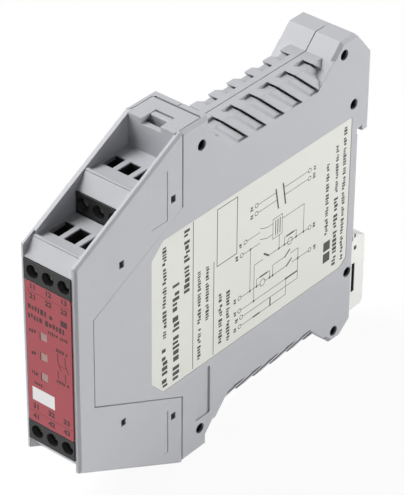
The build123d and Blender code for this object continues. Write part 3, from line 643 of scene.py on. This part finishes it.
# rows of bars: middle, low and high end, height
plate_texts = [
    (13.5, -6.7, 1.6, 1.6),
    (10.9, -6.8, 6.3, 1.6),
    (8.6, -0.4, 6.0, 1.0),
    (6.6, -6.6, -3.9, 1.2),
    (4.6, 2.1, 5.9, 1.0),
    (0.1, -6.0, -4.2, 1.2),
    (-4.7, 2.1, 6.0, 1.0),
    (-5.9, -6.1, -4.2, 1.2),
    (-8.8, -5.3, -2.7, 1.0),
]
for middle, low_x, high_x, height in plate_texts:
    plate_shapes.append(bars(middle, low_x, high_x, height))
plate_marks = np.vstack(plate_shapes)
plate_print = printed("plate_print", plate_marks, plate_numbers, plate_front, (1, 0, 0), plate_ink)
field_white = ink("field_white", rgba(0.80, 0.79, 0.79))
field_box = fields([(-6.1, -14.2, 1.2, -10.2)])
writing_field = printed("writing_field", field_box, [], plate_front, (1, 0, 0), field_white)


# Light guide and indicators: a clear acrylic comb carries the light of three small lamps on the
# board's edge to the windows in the front plate.
def clear_resin(name, colour, frost):
    """Cloudy clear plastic, tinted by what lies behind it."""
    finish = Finish(name)
    cloud = finish.noise(700.0, 2.0)
    tone = finish.blend(cloud, tinted(colour, 0.9), tinted(colour, 1.1))
    rough = frost + cloud * 0.15
    clear = {"Transmission Weight": 0.35, "IOR": 1.49}
    return finish.surface({"Base Color": tone, "Roughness": rough, **clear})


dress(["light_guide"], clear_resin("guide_acrylic", rgba(0.62, 0.40, 0.36), 0.25))
lamp_resin = clear_resin("lamp_resin", rgba(0.75, 0.68, 0.50), 0.15)
dress([f"indicator_led_{k}" for k in (1, 2, 3)], lamp_resin)


# Side label: a printed polyester film in a shallow recess of the right shell. It carries a plain
# wiring diagram, ruled lines and rows of short bars in dark grey ink.
def label_film(name, colour):
    """Satin film, with a very faint drift of tone."""
    finish = Finish(name)
    cloud = finish.noise(60.0, 2.0)
    fine = finish.noise(3000.0, 1.0)
    tone = finish.blend(cloud, tinted(colour, 0.985), tinted(colour, 1.015))
    normal = finish.bump(0.05, 0.00002, fine)
    return finish.surface({"Base Color": tone, "Roughness": 0.42 + fine * 0.08, "Normal": normal})


dress(["side_label"], label_film("label_film", rgba(0.76, 0.76, 0.71)))
label_face = (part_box("side_label")[1][0], -unit_depth_mm / 1000, 0.0)
label_ink = ink("label_ink", rgba(0.045, 0.045, 0.047))
# print in millimetres behind the unit's front and up from its middle
rules = [[(42.4, -22.3), (42.4, 22.3)], [(50.4, -22.3), (50.4, 6.2)]]
frame_lines = [[(51.6, 4.2), (59.3, 4.2), (59.3, 21.2), (51.6, 21.2), (51.6, 4.2)]]
label_shapes = [strokes(rules, 0.24), strokes(frame_lines, 0.24)]
# rows of bars: middle, low and high end, height
label_texts = [
    (31.6, -21.8, -9.2, 2.1),
    (31.6, -6.8, 20.4, 1.5),
    (35.9, -21.8, 7.6, 2.5),
    (40.0, 2.6, 21.4, 2.1),
    (44.8, -20.7, -10.9, 1.3),
    (44.8, -9.6, 7.5, 1.3),
    (47.9, -10.1, 6.3, 1.3),
    (53.1, -20.3, -4.6, 1.4),
    (56.1, -21.1, -4.9, 1.4),
    (96.1, -9.2, 13.0, 1.3),
    (99.9, -20.8, 1.0, 1.7),
    (99.9, 2.2, 16.8, 1.2),
    (103.0, -20.7, 21.0, 1.3),
]
for middle, low_z, high_z, height in label_texts:
    label_shapes.append(bars(middle, low_z, high_z, height, across=True))
label_shapes.append(fields([(95.2, -18.1, 98.0, -15.2), (95.2, -14.5, 98.0, -11.6)]))
wires = [
    [(67.6, 14.7), (74.6, 14.7)],
    [(78.0, 14.7), (87.6, 14.7)],
    [(67.6, 12.3), (75.0, 12.3)],
    [(78.4, 12.3), (87.6, 12.3)],
    [(73.7, 7.0), (77.5, 7.0), (77.5, 1.0), (73.7, 1.0), (73.7, 7.0)],
    [(77.5, 5.5), (86.4, 5.5), (86.4, -3.2), (76.4, -3.2), (76.4, 1.0)],
    [(83.4, -3.2), (83.4, -1.0), (82.2, -1.0)],
    [(78.6, -3.2), (78.6, -1.0), (79.6, -1.0)],
    [(86.4, -3.2), (88.3, -3.2)],
    [(73.7, 5.8), (71.4, 5.8), (68.6, 6.8)],
    [(68.4, 5.8), (63.4, 5.8)],
    [(73.7, 2.5), (71.4, 2.5), (68.6, 3.5)],
    [(68.4, 2.5), (62.0, 2.5)],
    [(64.8, 2.5), (64.8, -10.4)],
    [(76.4, -3.2), (72.4, -3.2)],
    [(69.8, -3.2), (66.4, -3.2), (66.4, -14.4)],
    [(61.4, -10.4), (68.9, -10.4)],
    [(70.9, -10.4), (79.6, -10.4)],
    [(67.5, -10.4), (67.5, -8.2), (69.0, -8.2)],
    [(71.7, -8.2), (72.8, -8.2), (72.8, -10.4)],
    [(74.0, -10.4), (74.0, -7.2), (79.0, -7.2)],
    [(81.2, -7.2), (84.4, -7.2), (84.4, -16.8), (62.2, -16.8)],
    [(82.0, -10.4), (88.6, -10.4)],
    [(61.4, -14.4), (80.0, -14.4)],
    [(79.6, -14.4), (79.6, -19.4), (61.6, -19.4)],
]
contacts = [
    [(74.6, 15.6), (75.7, 9.6)],
    [(77.5, 16.0), (78.6, 9.6)],
    [(79.6, -1.0), (82.2, -1.0)],
    [(72.2, -3.2), (70.4, -1.8)],
    [(69.0, -8.2), (71.7, -8.2)],
    [(79.0, -7.2), (80.8, -5.9)],
    [(79.8, -10.4), (81.6, -9.1)],
    [(80.2, -14.4), (84.2, -14.4)],
    [(73.2, -17.2), (73.2, -19.4)],
    [(66.4, -19.4), (68.8, -19.4)],
]
supply_lines = [[(74.8 + 0.9 * k, 1.8), (74.8 + 0.9 * k, 6.2)] for k in range(3)]
label_shapes += [strokes(wires, 0.17), strokes(contacts, 0.5), strokes(supply_lines, 0.3)]
ends = [(66.9, 14.7), (66.9, 12.3), (88.3, 14.7), (88.3, 12.3), (89.0, -3.2), (89.3, -10.4)]
ends += [(62.7, 5.8), (61.3, 2.5), (60.7, -10.4), (60.7, -14.4), (61.5, -16.8), (60.9, -19.4)]
ends_middle = 75
for end in ends:
    label_shapes.append(ring(end, 0.6, 0.2))
    outward = 1.9 if end[0] > ends_middle else -1.9
    label_shapes.append(bars(end[0] + outward, end[1] - 0.8, end[1] + 0.8, 1.1, across=True))
for coil in [(80.9, -3.2), (69.9, -10.4)]:
    label_shapes.append(ring(coil, 1.0, 0.2))
knots = [(86.4, -3.2), (83.4, -3.2), (78.6, -3.2), (76.4, -3.2), (64.8, 2.5), (64.8, -10.4)]
knots += [(66.4, -14.4), (67.5, -10.4), (72.8, -10.4), (74.0, -10.4), (84.4, -10.4), (79.6, -14.4)]
for knot in knots:
    label_shapes.append(ring(knot, 0.19, 0.38, 10))
label_marks = np.vstack(label_shapes)
label_print = printed("label_print", label_marks, [], label_face, (0, 1, 0), label_ink)


# Rail latch and its spring: a white polyamide slide behind the housing that snaps under the
# rail's lower edge, pushed up by a small steel coil spring inside the shells. The spring stands
# on the housing and gets a mesh of its own.
# x, y and z ranges, signs dropped, of painted shade on the latch: its side slot, painted a little
# wider than the cut, and two small patches on its side face that stand in for dark gaps
latch_shade_boxes = [
    ((0.0060, 0.0082), (0.0011, 0.0026), (0.0259, 0.0353)),
    ((0.0076, 0.0082), (0.0017, 0.0026), (0.0150, 0.0178)),
    ((0.0076, 0.0082), (0.0017, 0.0030), (0.0203, 0.0218)),
]
latch_white = rgba(0.88, 0.88, 0.85)


def latch_painted_shade(finish):
    """1 where painted shade goes on the latch: its side slot, a little past the cut, and two small
    patches of its side face, 0 elsewhere.
    """
    return in_shade_boxes(finish, latch_shade_boxes)


latch_plastic = moulded("latch_plastic", latch_white, 0.0003, 0.20, 0.44, 0.02, latch_painted_shade)
dress(["rail_latch"], latch_plastic)
dress(["latch_spring"], plated_metal("spring_steel", rgba(0.45, 0.45, 0.46), 0.25))
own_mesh(nodes["latch_spring"])


# Board and what it carries: glass-epoxy with green solder mask, two sealed relays, a supply
# capacitor in a shrunk sleeve, a rectifier and a control chip. They show only with the shell off.
def solder_mask(name, colour):
    """Green lacquer over copper: tracks as a faint stepped pattern in tone and height."""
    finish = Finish(name)
    sockets = {"Vector": finish.place, "Scale": 260.0}
    sockets.update({"Color1": rgba(1, 1, 1), "Color2": rgba(0.8, 0.8, 0.8)})
    track = finish.node("ShaderNodeTexBrick", {}, sockets, 1)
    tone = finish.blend(track * 0.35, colour, tinted(colour, 1.7))
    normal = finish.bump(0.2, 0.00003, track)
    return finish.surface({"Base Color": tone, "Roughness": 0.3 + track * 0.1, "Normal": normal})


dress(["main_board"], solder_mask("solder_mask", rgba(0.03, 0.14, 0.05)))
relay_black = moulded("relay_base_black", rgba(0.025, 0.025, 0.028), 0.0002, 0.2, 0.5)
dress(["relay_base_top", "relay_base_bottom"], relay_black)
relay_amber = moulded("relay_case_amber", rgba(0.62, 0.40, 0.10), 0.0003, 0.1, 0.3)
dress(["relay_case_top", "relay_case_bottom"], relay_amber)
sleeve = moulded("capacitor_sleeve", rgba(0.02, 0.02, 0.035), 0.0003, 0.05, 0.25)
dress(["supply_capacitor"], sleeve)
chip_black = moulded("chip_black", rgba(0.02, 0.02, 0.02), 0.0001, 0.25, 0.45)
dress(["bridge_rectifier", "control_chip"], chip_black)


# Floor and backdrop material: pale and lit by the same lamps, so that it keeps the unit's shadow.
# A share of plain white is mixed in where the camera, a mirror or clear plastic looks at it.
floor_white_share = 0.93
floor_finish = Finish("floor_pale")
floor_cloud = floor_finish.noise(2.0, 1.0)
floor_tone = floor_finish.blend(floor_cloud, rgba(0.95, 0.95, 0.95), rgba(0.97, 0.97, 0.97))
floor_material = floor_finish.surface({"Base Color": floor_tone, "Roughness": 0.9})
floor_shader = floor_finish.tree.nodes["Principled BSDF"]
floor_out = floor_finish.tree.nodes["Material Output"]
floor_share = Wire(floor_finish, plain_sight(floor_finish.tree)) * floor_white_share
floor_white = floor_finish.node("ShaderNodeEmission", {}, {"Strength": 1.0})
floor_mix = floor_finish.node("ShaderNodeMixShader", {}, {0: floor_share, 2: floor_white})
floor_finish.tree.links.new(floor_shader.outputs[0], floor_mix.socket.node.inputs[1])
floor_finish.tree.links.new(floor_mix.socket, floor_out.inputs["Surface"])
floor_mesh.materials.append(floor_material)
